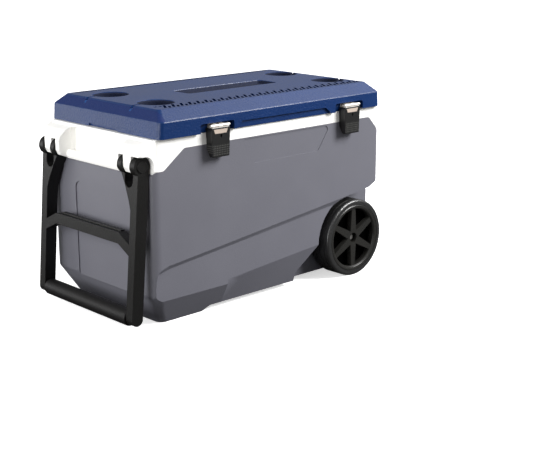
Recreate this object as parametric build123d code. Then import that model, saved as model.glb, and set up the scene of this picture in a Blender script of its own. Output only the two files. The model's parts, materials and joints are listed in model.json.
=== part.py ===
from build123d import *
import os
from math import cos, radians, sin

os.makedirs("parts", exist_ok=True)

# Ice chest on two wheels with a hinged tow handle. Millimetres, +Z up, floor at z = 0.
# X runs along the chest from the tow handle (-X) to the wheels (+X). The latches face -Y
# and the lid hinges face +Y. Pieces are drawn about the middle of the lid and are shifted
# along X when written, so that the origin is the middle of the whole chest's footprint.

# Body
body_length = 787.0
body_width = 422.4
rim_height = 461.0
corner_radius = 22.0
skirt_height = 81.0
skirt_inset = 42.0
belly_height = 14.0
skirt_round = 12.0
foot_round = 6.0
foot_end_x = -224.0
shell_wall = 4.0
upper_wall = 4.2
panel_inset = 6.7
panel_bevel = 17.0
panel_rise = 0.108
panel_height = 157.0
end_panel_depth = 3.0
end_panel_width = 212.0
end_panel_top = 320.0
end_panel_round = 18.0
badge_depth = 1.6
badge_left = -124.0
badge_right = 195.0
badge_gap = 4.0
badge_height = 63.5
badge_round = 10.0

# Collar round the mouth of the tub
collar_depth = 28.0
collar_end_drop = 59.0
end_drop_extra = 12.0
seam_round = 14.0
rim_plate = 4.0
rim_bevel = 6.0

# Ice tub
tub_end_wall = 48.5
tub_side_wall = 42.2
tub_floor_height = 64.0
tub_radius = 24.0
liner_wall = 3.0
well_foam = 15.0
step_length = 115.0
step_height = 142.0

# Hand holds in the two ends of the collar
hold_half_width = 117.0
hold_depth = 15.5
shelf_reach = 14.5
shelf_height = 24.0

# Wheels and axle
wheel_radius = 106.0
wheel_width = 65.0
tyre_thickness = 14.0
axle_x = 286.0
axle_radius = 6.0
wheel_stand_out = 10.4
wheel_side_gap = 6.6
arch_gap = 10.0
arch_end_slope = 0.147
rim_band = 12.0
hub_radius = 21.0
hub_cup_radius = 13.5
hub_cup_depth = 16.0
rim_round = 1.2
spoke_draft = 7.0
tread_grooves = 3
tread_groove_width = 3.0
tread_groove_depth = 1.4
axle_cap_radius = 8.3
axle_cap_height = 7.0
spoke_count = 6
spoke_root_width = 25.0
spoke_tip_width = 17.0
spoke_thickness = 13.0
spoke_set_back = 5.0
axle_boss_wall = 8.0
bumper_reach = 14.5
bumper_top_gap = 26.0

# Lid
lid_end_setback = 15.5
lid_overhang = 10.8
lid_skirt = 39.5
lid_crown = 25.0
crown_inset_x = 24.0
crown_inset_y = 33.0
lid_radius = 14.0
skirt_draft = 3.0
shoulder_round = 5.0
crown_round = 4.0
lid_gap = 0.5
lid_wall = 3.0
lid_plug_depth = 12.0
plug_gap = 4.0
cup_radius = 47.0
cup_lip = 4.0
cup_depth = 34.0
cup_floor_round = 6.0
cup_mid_x = 9.5
cup_spacing_x = 592.0
cup_spacing_y = 184.0
groove_width = 9.0
groove_depth = 7.5
tray_length = 309.0
tray_width = 74.0
tray_depth = 9.0
tray_mid_x = 16.5
tray_draft = 5.0
lift_channel_length = 327.0
lift_channel_height = 17.0
lift_channel_slant = 18.0
lift_channel_depth = 6.0
lift_mid_x = 21.5
end_notch_width = 118.0
end_notch_height = 6.5
end_notch_depth = 5.0

# Latches
latch_x = (-203.5, 256.0)
latch_width = 58.0
latch_front_reach = 12.0
latch_bottom_drop = 59.0
latch_plate = 4.5
latch_flange = 3.0
latch_pocket_width = 106.0
latch_pocket_height = 22.5
latch_pocket_round = 6.0
latch_pocket_depth = 12.5
latch_pin_radius = 1.6
latch_knuckle_radius = 3.5
latch_knuckle_height = 16.0
latch_knuckle_count = 5
latch_leaf_thickness = 1.4
latch_leaf_setback = 1.0
latch_leaf_lap = 2.0
latch_window_width = 47.0
latch_window_foot = 37.0
latch_window_drop = 6.5
latch_window_height = 12.0
latch_edge_round = 1.2
latch_hole_width = 9.0
latch_hole_height = 10.5
latch_hole_depth = 3.0
latch_hole_lift = 49.0
keeper_width = 38.0
keeper_reach = 8.0
keeper_drop = 14.0
keeper_height = 10.0

# Lid hinges
hinge_x = (-205.0, 205.0)
hinge_width = 92.0
hinge_leaf_thickness = 3.0
hinge_knuckle_radius = 6.5
hinge_knuckle_count = 5
hinge_pin_radius = 2.5
hinge_leaf_height = 31.0
hinge_body_leaf_height = 48.0
hinge_leaf_drop = 11.0
hinge_web_height = 14.0

# Tow handle
tow_tilt = 5.0
tow_pivot_drop = 59.5
tow_pivot_reach = 19.5
tow_eye_radius = 23.0
tow_leg_depth = 32.0
tow_leg_setback = 1.6
tow_side_inset = 13.2
tow_leg_width = 24.0
tow_length = 365.0
tow_outer_prong = 18.0
tow_inner_prong = 16.0
tow_lug_width = 29.5
tow_side_gap = 1.2
tow_bar_top = 164.5
tow_bar_height = 27.0
tow_bar_depth = 25.0
tow_bar_drop = 22.0
tow_bar_knee = 43.0
tow_rib_height = 3.0
tow_rib_end = 8.0
tow_core_radius = 14.0
grip_radius = 20.5
grip_end_gap = 2.0
tow_pin_radius = 7.0
tow_pin_head_radius = 14.5
tow_pin_head = 3.0
lug_reach = 17.0
lug_round = 3.0
hold_round = 4.0

# Drain
drain_bore_radius = 9.0
drain_tube_radius = 12.0
drain_recess_radius = 27.0
drain_recess_depth = 16.0
drain_nut_radius = 20.0
drain_nut_thickness = 5.5
drain_gasket_thickness = 1.5
drain_cap_radius = 16.0
drain_cap_top = 2.5
drain_seal_thickness = 1.6
drain_seal_gap = 0.25

# Screws, and clearances between pieces
screw_radius = 2.0
screw_head_radius = 4.0
screw_head_height = 2.2
screw_length = 9.0
boss_depth = 14.0
running_gap = 0.05
moving_gap = 0.5

# Derived places
lid_length = body_length - 2 * lid_end_setback
lid_width = body_width + 2 * lid_overhang
tub_length = body_length - 2 * tub_end_wall
tub_width = body_width - 2 * tub_side_wall
tow_half_width = body_width / 2 - tow_side_inset
tow_pivot_height = rim_height - tow_pivot_drop
half_x = body_length / 2
half_y = body_width / 2
seam_height = rim_height - collar_depth
collar_end_height = seam_height - collar_end_drop
lid_bottom = rim_height + lid_gap
lid_shoulder = lid_bottom + lid_skirt
lid_top = lid_shoulder + lid_crown
axle_z = wheel_radius
pocket_y = half_y - (wheel_width + wheel_side_gap - wheel_stand_out)
arch_radius = wheel_radius + arch_gap + 4.0
tow_pivot_x = -half_x - tow_pivot_reach
leg_middle = tow_eye_radius - tow_leg_depth / 2 - tow_leg_setback
bumper_x = half_x + bumper_reach
tow_lean = radians(tow_tilt)
grip_x = tow_pivot_x + leg_middle * cos(tow_lean) - tow_length * sin(tow_lean)
origin_x = (bumper_x + grip_x - grip_radius) / 2
drain_z = tub_floor_height + drain_tube_radius - 1.0
tub_end = tub_length / 2
step_x = tub_end - step_length
well_half_width = pocket_y - shell_wall - well_foam - liner_wall
latch_axis_y = -(lid_width / 2 + latch_front_reach - latch_knuckle_radius)
latch_axis_z = lid_bottom + latch_knuckle_height
hinge_axis_y = lid_width / 2 + hinge_knuckle_radius + 1.0
hinge_axis_z = rim_height


def block(length, width, low, high, radius, x=0.0):
    """Upright block with rounded corners, centred on x and y = 0."""
    return Pos(x, 0, low) * extrude(RectangleRounded(length, width, radius), high - low)


def box(x0, x1, y0, y1, z0, z1):
    """Plain box between two corners."""
    middle = Pos((x0 + x1) / 2, (y0 + y1) / 2, (z0 + z1) / 2)
    return middle * Box(x1 - x0, y1 - y0, z1 - z0)


def tapered(sections):
    """Straight-sided block through rounded sections (z, half length, half width, radius)."""
    outlines = [Pos(0, 0, z) * RectangleRounded(2 * x, 2 * y, r) for z, x, y, r in sections]
    return loft(outlines, ruled=True)


def along_y(outline, low, high):
    """Outline drawn in X and Z, carried along Y from low to high."""
    return Pos(0, high, 0) * extrude(Plane.XZ * outline, high - low, dir=(0, -1, 0))


def along_x(outline, low, high):
    """Outline drawn in Y and Z, carried along X from low to high."""
    return Pos(low, 0, 0) * extrude(Plane.YZ * outline, high - low, dir=(1, 0, 0))


def rod_y(radius, x, z, low, high):
    """Round bar along Y."""
    return along_y(Pos(x, z) * Circle(radius), low, high)


def rod_x(radius, y, z, low, high):
    """Round bar along X."""
    return along_x(Pos(y, z) * Circle(radius), low, high)


def shape(*points):
    """Flat face through the points."""
    return Polygon(*points, align=None)


def level_edges(solid, height):
    """Edges that lie flat at one height."""
    spans = [(edge, edge.bounding_box()) for edge in solid.edges()]
    return [edge for edge, span in spans if abs(span.min.Z - height) + abs(span.max.Z - height) < 0.01]


def both_sides(piece):
    """The piece and its mirror image across the chest's middle plane."""
    return piece + mirror(piece, Plane.XZ)


def wheel_pocket(grow=0.0):
    """Space for one wheel on the -Y side, open to the side, the end and below."""
    x, z, r = axle_x - 4.0, axle_z, arch_radius + grow
    top = radians(95)
    arc_end = (x + r * cos(top), z + r * sin(top))
    arc_mid = (x + r * cos(radians(137)), z + r * sin(radians(137)))
    shoulder_x = half_x - 42.0
    shoulder = (shoulder_x, arc_end[1] + (shoulder_x - arc_end[0]) * arch_end_slope)
    lip = (half_x, shoulder[1] + 19.0)
    far = bumper_x + 30.0
    foot = (x - r - 69.0, -10.0)
    outline = make_face(
        [
            Line(foot, (x - r - 67.0, 40.0)),
            Line((x - r - 67.0, 40.0), (x - r, z)),
            ThreePointArc((x - r, z), arc_mid, arc_end),
            Line(arc_end, shoulder),
            Line(shoulder, lip),
            Line(lip, (far, lip[1])),
            Line((far, lip[1]), (far, -10.0)),
            Line((far, -10.0), foot),
        ]
    )
    return along_y(outline, -half_y - 40.0, -pocket_y + grow)


def lower_panel():
    """Cutter for the inset lower side panel with its downward bevel, on the -Y side."""
    left, right = -half_x, axle_x
    low = skirt_height - 25.0

    def outline(drop, inset):
        top = panel_height - drop
        return shape(
            (left - 9.0 + inset, low),
            (left - 9.0 + inset, 102.0 - drop / 2),
            (left - 5.0 + inset, 123.0 - drop / 2),
            (left + 9.0 + inset / 1.5, 146.0 - drop / 1.5),
            (left + 40.0 + inset / 3, top),
            (right, top + (right - left) * panel_rise - drop * 0.4),
            (right, low),
        )

    faces = [
        Pos(0, -half_y - 1.0, 0) * (Plane.XZ * outline(0.0, 0.0)),
        Pos(0, -half_y + panel_inset, 0) * (Plane.XZ * outline(panel_bevel * 0.7, 14.0)),
    ]
    return loft(faces, ruled=True)


def lower_facet():
    """Cutter for the flat that leans in under the side panel, from the foot to the wheel."""
    start, end = foot_end_x + 62.0, axle_x - 70.0
    panel_y = half_y - panel_inset
    foot_y = half_y - skirt_inset + 7.0

    def outline(crease):
        return shape(
            (-half_y - 20.0, crease),
            (-panel_y, crease),
            (-foot_y, belly_height),
            (-foot_y + 4.0, -5.0),
            (-half_y - 20.0, -5.0),
        )

    faces = [
        Pos(start, 0, 0) * (Plane.YZ * outline(skirt_height)),
        Pos(end, 0, 0) * (Plane.YZ * outline(skirt_height + (end - start) * 0.085)),
    ]
    return loft(faces, ruled=True)


def end_panel():
    """Cutter for the shallow field in the tow end, which runs out over the skirt."""
    w, low = end_panel_width / 2, skirt_height - 10.0
    field = shape((-w, low), (w, low), (w, end_panel_top), (-w, end_panel_top))
    upper = [v for v in field.vertices() if v.Y > low + 1]
    return along_x(fillet(upper, end_panel_round), -half_x - 1, -half_x + end_panel_depth)


def outer_form():
    """Whole outside of the chest below the lid, before it is split at the seam."""
    form = block(body_length, body_width, skirt_height, rim_height, corner_radius)
    form += tapered(
        [
            (0, half_x - skirt_inset, half_y - skirt_inset, corner_radius),
            (skirt_height, half_x, half_y, corner_radius),
        ]
    )
    form = fillet(level_edges(form, skirt_height), skirt_round)
    form = fillet(level_edges(form, 0), foot_round)
    bumper_top = axle_z + arch_radius + 4.0
    bumper = along_y(
        shape(
            (half_x - 40, belly_height + 6),
            (half_x - 12, belly_height),
            (bumper_x - 6, belly_height + 22),
            (bumper_x, belly_height + 42),
            (bumper_x, bumper_top - 18),
            (half_x - 1, bumper_top),
            (half_x - 40, bumper_top),
        ),
        -pocket_y,
        pocket_y,
    )
    form += bumper
    slope_end = foot_end_x + 26.0
    form -= along_y(
        shape(
            (foot_end_x, -1.0),
            (slope_end, belly_height),
            (bumper_x + 1, belly_height),
            (bumper_x + 1, -1.0),
        ),
        -half_y,
        half_y,
    )
    form -= box(-half_x, foot_end_x, -90, 90, -1, 8)
    form -= both_sides(lower_panel())
    form -= both_sides(lower_facet())
    form -= both_sides(wheel_pocket())
    form -= end_panel()
    bevel = shape(
        (half_x - rim_bevel, rim_height + 1),
        (half_x - rim_bevel, rim_height),
        (half_x, rim_height - rim_bevel),
        (half_x + 1, rim_height - rim_bevel),
        (half_x + 1, rim_height + 1),
    )
    rim_cut = along_y(bevel, -half_y - 1, half_y + 1)
    return form - rim_cut - mirror(rim_cut, Plane.YZ)


def badge_recess():
    """Shallow bare field between the latches, narrower at its foot."""
    top = seam_height - badge_gap
    low = top - badge_height
    field = shape((badge_left, top), (badge_right, top), (badge_right - 45, low), (badge_left + 42, low))
    field = fillet(field.vertices(), badge_round)
    return along_y(field, -half_y - 1, -half_y + badge_depth)


def above_seam():
    """Region of the collar: a long level seam that sweeps down round every corner."""
    low = collar_end_height
    side = low + end_drop_extra
    top = rim_height + 50
    left, right = -half_x - 80, half_x + 80
    outline = shape(
        (left, low),
        (-half_x + 2, low),
        (-half_x + 8, side),
        (-half_x + 32, side),
        (-half_x + 95, seam_height),
        (half_x - 48, seam_height),
        (half_x - 6, seam_height - 44),
        (half_x - 2, low),
        (right, low),
        (right, top),
        (left, top),
    )
    soft = [v for v in outline.vertices() if abs(v.Y - low) > 1 and v.Y < top - 1]
    outline = fillet(soft, seam_round)
    return along_y(outline, -half_y - 60, half_y + 60)


def hinge_bosses(y0, y1, z0, z1):
    """Solid backing behind the hinge leaves, for their screws."""
    pads = [box(x - 50, x + 50, y0, y1, z0, z1) for x in hinge_x]
    return pads[0] + pads[1]


def foam_cavity():
    """Everything between the outer walls and the tub that the foam fills."""
    low_y = half_y - panel_inset - shell_wall
    up_y = half_y - upper_wall
    side_x = half_x - 9.5
    end_x = half_x - hold_depth - shell_wall
    r = corner_radius - shell_wall
    bottom = belly_height + shell_wall
    slope = skirt_inset / skirt_height
    step = collar_end_height - 6.0
    panel_top = panel_height + (axle_x + half_x) * panel_rise
    knee = skirt_height + 39.0
    cavity = tapered(
        [
            (bottom, side_x - slope * (skirt_height - bottom), low_y - 31.0, r),
            (skirt_height, side_x, low_y - 9.5, r),
            (knee, side_x, low_y, r),
        ]
    )
    cavity += block(2 * side_x, 2 * low_y, knee, panel_top, r)
    cavity += block(2 * side_x, 2 * up_y, panel_top, step, r)
    cavity += block(2 * end_x, 2 * up_y, step, rim_height - rim_plate, r)
    cavity -= both_sides(wheel_pocket(shell_wall))
    cavity -= rod_y(axle_radius + axle_boss_wall, axle_x, axle_z, -pocket_y, pocket_y)
    inner = half_y - boss_depth
    leaf_low = hinge_axis_z - hinge_leaf_drop - hinge_body_leaf_height
    return cavity - hinge_bosses(inner, half_y, leaf_low - 4, rim_height)


def tub(grow=0.0):
    """Inside of the tub, stepped round the wheel wells; grow adds the wall."""
    g = 2 * grow
    top = rim_height + 10
    well_top = axle_z + arch_radius + shell_wall + well_foam + 10.0
    well_x = axle_x - arch_radius - shell_wall - 69.0 - well_foam
    r = tub_radius
    narrow = 2 * well_half_width + g
    floor = tub_floor_height - grow
    wide_length = well_x + tub_end + g
    form = block(tub_length + g, tub_width + g, well_top - grow, top, r)
    form += block(wide_length, tub_width + g, floor, well_top, r, (well_x - tub_end) / 2)
    form += block(step_x + 60 + grow, narrow, floor, well_top, r, (step_x + grow - 60) / 2)
    form += block(tub_end + grow, narrow, step_height - grow, well_top, r, (tub_end + grow) / 2)
    return form


def tow_notches(side):
    """Clearance in the tow lug block for the two prongs of one leg; side is -1 or +1."""
    radius = tow_eye_radius + 1.8
    edge = tow_half_width - tow_outer_prong - tow_side_gap
    inner_high = edge - tow_lug_width
    inner_low = inner_high - tow_inner_prong - 2 * tow_side_gap
    z = tow_pivot_height
    cut = None
    for low, high in ((edge, half_y + 30), (inner_low, inner_high)):
        y0, y1 = (low, high) if side > 0 else (-high, -low)
        slot = rod_y(radius, tow_pivot_x, z, y0, y1)
        slot += box(tow_pivot_x - 60, tow_pivot_x + radius, y0, y1, collar_end_height - 30, z)
        slot += box(tow_pivot_x - 60, tow_pivot_x, y0, y1, z - 1, z + radius)
        cut = slot if cut is None else cut + slot
    return cut


def tow_block(side):
    """Lug block at one corner of the tow end, before the prongs' slots are cut."""
    x = -half_x
    front = tow_pivot_x - lug_reach
    low = collar_end_height
    profile = shape(
        (x + 13, rim_height - 1),
        (x + 2.5, rim_height - 5),
        (x - 16, rim_height - 14),
        (front + 5, rim_height - 27),
        (front, rim_height - 37),
        (front, low + 24),
        (front + 6, low + 12),
        (x - 12, low + 4),
        (x - 1, low + 4),
        (x + 3, low + end_drop_extra),
        (x + 13, low + end_drop_extra),
    )
    y0, y1 = (hold_half_width, half_y) if side > 0 else (-half_y, -hold_half_width)
    plan = block(2 * (half_x + 60), body_width, low - 5, rim_height + 5, 14)
    plan = Pos(half_x + 60 + front, 0, 0) * plan
    lug = along_y(profile, y0, y1) & plan
    return fillet(lug.edges(), lug_round)


def hand_shelf():
    """Lip along the foot of the tow end's hand hold."""
    x = -half_x
    low = collar_end_height
    lip = shape(
        (x + 3, low),
        (x - 0.5, low),
        (x - shelf_reach + 3, low + 3),
        (x - shelf_reach, low + 9),
        (x - shelf_reach, low + shelf_height - 6),
        (x - shelf_reach + 5, low + shelf_height),
        (x + 3, low + shelf_height),
    )
    return along_y(lip, -hold_half_width, hold_half_width)


def hand_recess():
    """Hollow above the tow end's hand shelf."""
    x = -half_x
    low = collar_end_height + shelf_height
    hollow = shape(
        (x - shelf_reach - 2, low + 1),
        (x - shelf_reach + 5, low),
        (x + hold_depth - 4, low - 3),
        (x + hold_depth, low + 5),
        (x + hold_depth, rim_height - 12),
        (x + hold_depth - 5, rim_height - 6),
        (x - shelf_reach - 2, rim_height - 6),
    )
    recess = along_y(hollow, -hold_half_width + 1, hold_half_width - 1)
    return fillet(recess.edges(), hold_round)


def keepers():
    """Ribs on the collar that the latches hook under."""
    y = -half_y
    z1 = rim_height - keeper_drop
    z0 = z1 - keeper_height
    rib = shape((y + 1, z0), (y - keeper_reach, z0), (y - keeper_reach, z0 + 3), (y + 1, z1))
    w = keeper_width / 2
    ribs = [along_x(rib, x - w, x + w) for x in latch_x]
    return ribs[0] + ribs[1]


def screw_group(places, direction):
    """Identical pan-head screws: places are head seats, direction is +1 for heads facing +Y."""
    screws = None
    for x, y, z in places:
        head_end = y + direction * screw_head_height
        tip = y - direction * screw_length
        head = rod_y(screw_head_radius, x, z, min(y, head_end), max(y, head_end))
        crown = head.faces().sort_by(Axis.Y)[-1 if direction > 0 else 0]
        head = chamfer(crown.edges(), screw_head_height * 0.4)
        shank = rod_y(screw_radius, x, z, min(y, tip), max(y, tip))
        screw = head + shank
        screws = screw if screws is None else screws + screw
    return screws


def screw_holes(places, direction, depth=screw_length):
    """Holes for the screws' shanks."""
    cut = None
    for x, y, z in places:
        tip, mouth = y - direction * depth, y + direction
        hole = rod_y(screw_radius, x, z, min(tip, mouth), max(tip, mouth))
        cut = hole if cut is None else cut + hole
    return cut


def hinge_body_screw_places(x):
    """Seats of the four screws of a hinge's body leaf."""
    y = half_y + hinge_leaf_thickness
    top = hinge_axis_z - hinge_leaf_drop
    low = top - hinge_body_leaf_height + 9.0
    high = top - hinge_web_height - 6.0
    return [(x + dx, y, z) for dx in (-34, 34) for z in (low, high)]


def hinge_lid_screw_places(x):
    """Seats of the four screws of a hinge's lid leaf."""
    y = lid_width / 2 + hinge_leaf_thickness
    low = lid_bottom + 4.5
    return [(x + dx, y, low + dz) for dx in (-34, 34) for dz in (9.5, 24.5)]


def latch_screw_places(x):
    """Seats of the two screws that hold a latch's lid leaf."""
    y = -(lid_width / 2 - latch_pocket_depth) - latch_leaf_thickness
    return [(x + dx, y, lid_bottom + 8.0) for dx in (-15, 15)]


def shell_and_liner():
    """Outer shell, foam, the collar with its lugs and hand holds, and the tub."""
    form = outer_form()
    cavity = foam_cavity()
    collar_region = above_seam()
    body_screws = hinge_body_screw_places(hinge_x[0]) + hinge_body_screw_places(hinge_x[1])
    screw_cut = screw_holes(body_screws, 1, screw_length + 1)
    tube_hole = rod_x(drain_tube_radius, 0, drain_z, step_x - 10, bumper_x + 1)
    recess = rod_x(drain_recess_radius, 0, drain_z, bumper_x - drain_recess_depth, bumper_x + 1)
    axle_hole = rod_y(axle_radius + running_gap, axle_x, axle_z, -half_y, half_y)

    lugs = tow_block(-1) + tow_block(1)
    shelf, hollow = hand_shelf(), hand_recess()
    shelves = shelf + mirror(shelf, Plane.YZ)
    shell = form - collar_region - cavity - badge_recess() - axle_hole - lugs - shelves
    shell = shell - recess - tube_hole - screw_cut

    collar = (form & collar_region) + lugs + shelves
    collar = collar - hollow - mirror(hollow, Plane.YZ) - cavity
    for side in (-1, 1):
        collar -= tow_notches(side)
    pin_end = tow_half_width - tow_outer_prong - tow_lug_width - 2 * tow_side_gap - tow_inner_prong - 2.0
    pivot_hole = rod_y(tow_pin_radius + running_gap, tow_pivot_x, tow_pivot_height, pin_end - moving_gap, half_y)
    collar = collar - both_sides(pivot_hole) + keepers()
    tub_form = tub(liner_wall) & box(-half_x, half_x, -half_y, half_y, 0, rim_height)
    collar = collar - tub_form - screw_cut
    liner = tub_form - tub() - tube_hole

    foam = cavity - tub_form - tube_hole
    return shell, foam, collar, liner


def tyre():
    """Tread band with rounded shoulders, axis along Z, outer face up."""
    inner, outer, width = wheel_radius - tyre_thickness, wheel_radius, wheel_width
    section = Pos((inner + outer) / 2, width / 2) * Rectangle(outer - inner, width)
    edge = [v for v in section.vertices() if v.X > inner + 1]
    section = fillet(edge, 6.0)
    for groove in range(tread_grooves):
        height = width * (groove + 1) / (tread_grooves + 1)
        section -= Pos(outer, height) * Rectangle(2 * tread_groove_depth, tread_groove_width)
    return revolve(Plane.XZ * section, Axis.Z)


def wheel_hub():
    """Rim, six tapered spokes and hub in one moulding, axis along Z, outer face up."""
    outer = wheel_radius - tyre_thickness
    inner = outer - rim_band
    width = wheel_width
    dish = width - spoke_set_back
    band = shape(
        (inner, dish - spoke_thickness),
        (inner + 7, dish - spoke_thickness - 8),
        (inner + 7, 5),
        (outer, 5),
        (outer, width - 1.5),
        (outer - 3, width),
        (inner + 3, width - 1),
        (inner, dish),
    )
    wheel = revolve(Plane.XZ * fillet(band.vertices(), rim_round), Axis.Z)
    barrel = Pos(0, 0, 1) * Cylinder(hub_radius, dish - 1, align=(Align.CENTER, Align.CENTER, Align.MIN))
    wheel += barrel
    spoke = shape(
        (hub_radius - 6, -spoke_root_width / 2),
        (inner + 3, -spoke_tip_width / 2),
        (inner + 3, spoke_tip_width / 2),
        (hub_radius - 6, spoke_root_width / 2),
    )
    arm = Pos(0, 0, dish - spoke_thickness) * extrude(spoke, spoke_thickness, dir=(0, 0, 1), taper=spoke_draft)
    for turn in range(spoke_count):
        wheel += Rot(0, 0, 90 + turn * 360 / spoke_count) * arm
    wheel -= Pos(0, 0, dish - hub_cup_depth) * Cylinder(
        hub_cup_radius, hub_cup_depth + 1, align=(Align.CENTER, Align.CENTER, Align.MIN)
    )
    return wheel - Cylinder(axle_radius + running_gap, 3 * width)


def push_nut():
    """Domed cap pressed on the end of the axle, axis along Z, in the hub's cup."""
    seat = wheel_width - spoke_set_back - hub_cup_depth
    cap = Cylinder(axle_cap_radius, axle_cap_height, align=(Align.CENTER, Align.CENTER, Align.MIN))
    cap = Pos(0, 0, seat + 0.3) * cap
    cap = chamfer(cap.edges().sort_by(Axis.Z)[-1], 2.0)
    bore = Pos(0, 0, seat) * Cylinder(axle_radius, 4.3, align=(Align.CENTER, Align.CENTER, Align.MIN))
    return cap - bore


def spacer():
    """Washer between the wheel and the wall of its well, axis along Z."""
    low = -(wheel_side_gap) + 0.3
    ring = Pos(0, 0, low) * Cylinder(
        axle_radius + 8, 1 - low - 0.3, align=(Align.CENTER, Align.CENTER, Align.MIN)
    )
    return ring - Cylinder(axle_radius + running_gap, 60)


def on_axle(piece, side):
    """Stand a piece drawn about Z on the axle; side -1 faces -Y, +1 faces +Y."""
    inner = pocket_y + wheel_side_gap
    turn = Rot(90, 0, 0) if side < 0 else Rot(-90, 0, 0)
    return Pos(axle_x, side * inner, axle_z) * turn * piece


def axle():
    """Steel rod through the chest, ending inside the push nuts."""
    end = pocket_y + wheel_side_gap + wheel_width - spoke_set_back - hub_cup_depth + 4.2
    return rod_y(axle_radius, axle_x, axle_z, -end, end)


def lid_form(grow=0.0):
    """Skirt and crown of the lid; grow is negative for the inner surface."""
    x, y, r = lid_length / 2 + grow, lid_width / 2 + grow, lid_radius + grow
    top = lid_top + grow
    shoulder = lid_shoulder + grow * 0.5
    form = tapered(
        [
            (lid_bottom, x, y, r),
            (shoulder, x - skirt_draft, y, r),
            (top, x - crown_inset_x, y - crown_inset_y, r * 0.7),
        ]
    )
    form = fillet(level_edges(form, shoulder), shoulder_round)
    return fillet(level_edges(form, top), crown_round)


def cup_places():
    """Centres of the four cup holders."""
    dx, dy = cup_spacing_x / 2, cup_spacing_y / 2
    return [(cup_mid_x + sx * dx, sy * dy) for sx in (-1, 1) for sy in (-1, 1)]


def cup(x, y, grow=0.0):
    """One cup holder with its flared lip."""
    low = lid_top - cup_depth - grow
    r = cup_radius - cup_lip + grow
    well = Pos(x, y, low) * Cylinder(r, lid_top + 1 - low, align=(Align.CENTER, Align.CENTER, Align.MIN))
    well = fillet(well.edges().sort_by(Axis.Z)[0], cup_floor_round + grow)
    lip = Pos(x, y, lid_top - cup_lip) * Cone(r, r + cup_lip, cup_lip, align=(Align.CENTER, Align.CENTER, Align.MIN))
    rim = Pos(x, y, lid_top) * Cylinder(r + cup_lip, 2, align=(Align.CENTER, Align.CENTER, Align.MIN))
    return well + lip + rim


def latch_pocket(x, grow=0.0):
    """Recess in the front skirt round one latch."""
    w = latch_pocket_width / 2 + grow
    y = -(lid_width / 2 - latch_pocket_depth) + grow
    top = lid_bottom + latch_pocket_height + grow
    outline = shape((x - w, 0), (x - w, top), (x + w, top), (x + w, 0))
    upper = [v for v in outline.vertices() if v.Y > 1]
    outline = fillet(upper, latch_pocket_round + grow)
    return along_y(outline, -lid_width, y)


def lift_channel(grow=0.0):
    """Long finger channel in the front skirt, with slanted ends."""
    w = lift_channel_length / 2 + grow
    top = lid_bottom + lift_channel_height + grow
    x = lift_mid_x
    low = lid_bottom + 3.0
    slant = lift_channel_slant
    outline = shape((x - w, 0), (x - w, low), (x - w + slant, top), (x + w - slant, top), (x + w, low), (x + w, 0))
    return along_y(outline, -lid_width, -lid_width / 2 + lift_channel_depth + grow)


def lid_pieces():
    """Blue top shell, its foam and the white inner liner."""
    tray_floor = RectangleRounded(tray_length - 2 * tray_draft, tray_width - 2 * tray_draft, 9)
    tray_mouth = Pos(0, 0, tray_depth) * RectangleRounded(tray_length, tray_width, 12)
    tray = Pos(tray_mid_x, 0, lid_top - tray_depth) * loft([tray_floor, tray_mouth], ruled=True)
    tray_boss = block(
        tray_length + 2 * lid_wall,
        tray_width + 2 * lid_wall,
        lid_top - tray_depth - lid_wall,
        lid_top + 1,
        15,
        tray_mid_x,
    )
    inner = lid_form(-lid_wall) - tray_boss
    shell = lid_form() - tray
    screws = []
    for x in hinge_x:
        screws += hinge_lid_screw_places(x)
    front_screws = []
    for x in latch_x:
        front_screws += latch_screw_places(x)
        inner -= latch_pocket(x, lid_wall)
        y = -(lid_width / 2 - latch_pocket_depth)
        inner -= box(x - 24, x + 24, y, y + boss_depth, lid_bottom, lid_bottom + latch_pocket_height)
        shell -= latch_pocket(x)
    inner -= lift_channel(lid_wall)
    shell -= lift_channel()
    rear = lid_width / 2
    inner -= hinge_bosses(rear - boss_depth, rear, lid_bottom, lid_bottom + lid_skirt - 2)
    for x, y in cup_places():
        inner -= cup(x, y, lid_wall)
        shell -= cup(x, y)
    for y in (-cup_spacing_y / 2, cup_spacing_y / 2):
        for end in (-1, 1):
            x0, x1 = sorted((cup_mid_x + end * cup_spacing_x / 2, end * lid_length / 2))
            low = lid_top - groove_depth
            shell -= box(x0, x1, y - groove_width / 2, y + groove_width / 2, low, lid_top + 1)
            inner -= box(
                x0, x1, y - groove_width / 2 - lid_wall, y + groove_width / 2 + lid_wall, low - lid_wall, lid_top
            )
    for end in (-1, 1):
        x0, x1 = sorted((end * (lid_length / 2 - end_notch_depth), end * lid_length / 2 + end))
        w, top = end_notch_width / 2, lid_bottom + end_notch_height
        shell -= box(x0, x1, -w, w, 0, top)
        x0, x1 = sorted((end * (lid_length / 2 - end_notch_depth - lid_wall), end * lid_length / 2))
        inner -= box(x0, x1, -w - lid_wall, w + lid_wall, 0, top + lid_wall)
    shell = shell - inner - screw_holes(screws, 1, screw_length + 1)
    shell -= screw_holes(front_screws, -1, screw_length + 1)

    plate_top = lid_bottom + lid_wall
    plate = inner & box(-lid_length, lid_length, -lid_width, lid_width, lid_bottom, plate_top)
    plug_length, plug_width = tub_length - 2 * plug_gap, tub_width - 2 * plug_gap
    plug_low = lid_bottom - lid_plug_depth
    plug = block(plug_length, plug_width, plug_low, plate_top, tub_radius)
    hollow = block(
        plug_length - 2 * lid_wall, plug_width - 2 * lid_wall, plug_low + lid_wall, plate_top, tub_radius - lid_wall
    )
    liner = plate + plug - hollow
    foam = inner - box(-lid_length, lid_length, -lid_width, lid_width, 0, plate_top) + hollow
    return shell, foam, liner


def knuckle_spans(width, count, gap=0.5):
    """Start and end of each hinge knuckle along the pin, about its middle."""
    pitch = width / count
    return [(-width / 2 + i * pitch + gap / 2, -width / 2 + (i + 1) * pitch - gap / 2) for i in range(count)]


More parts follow.
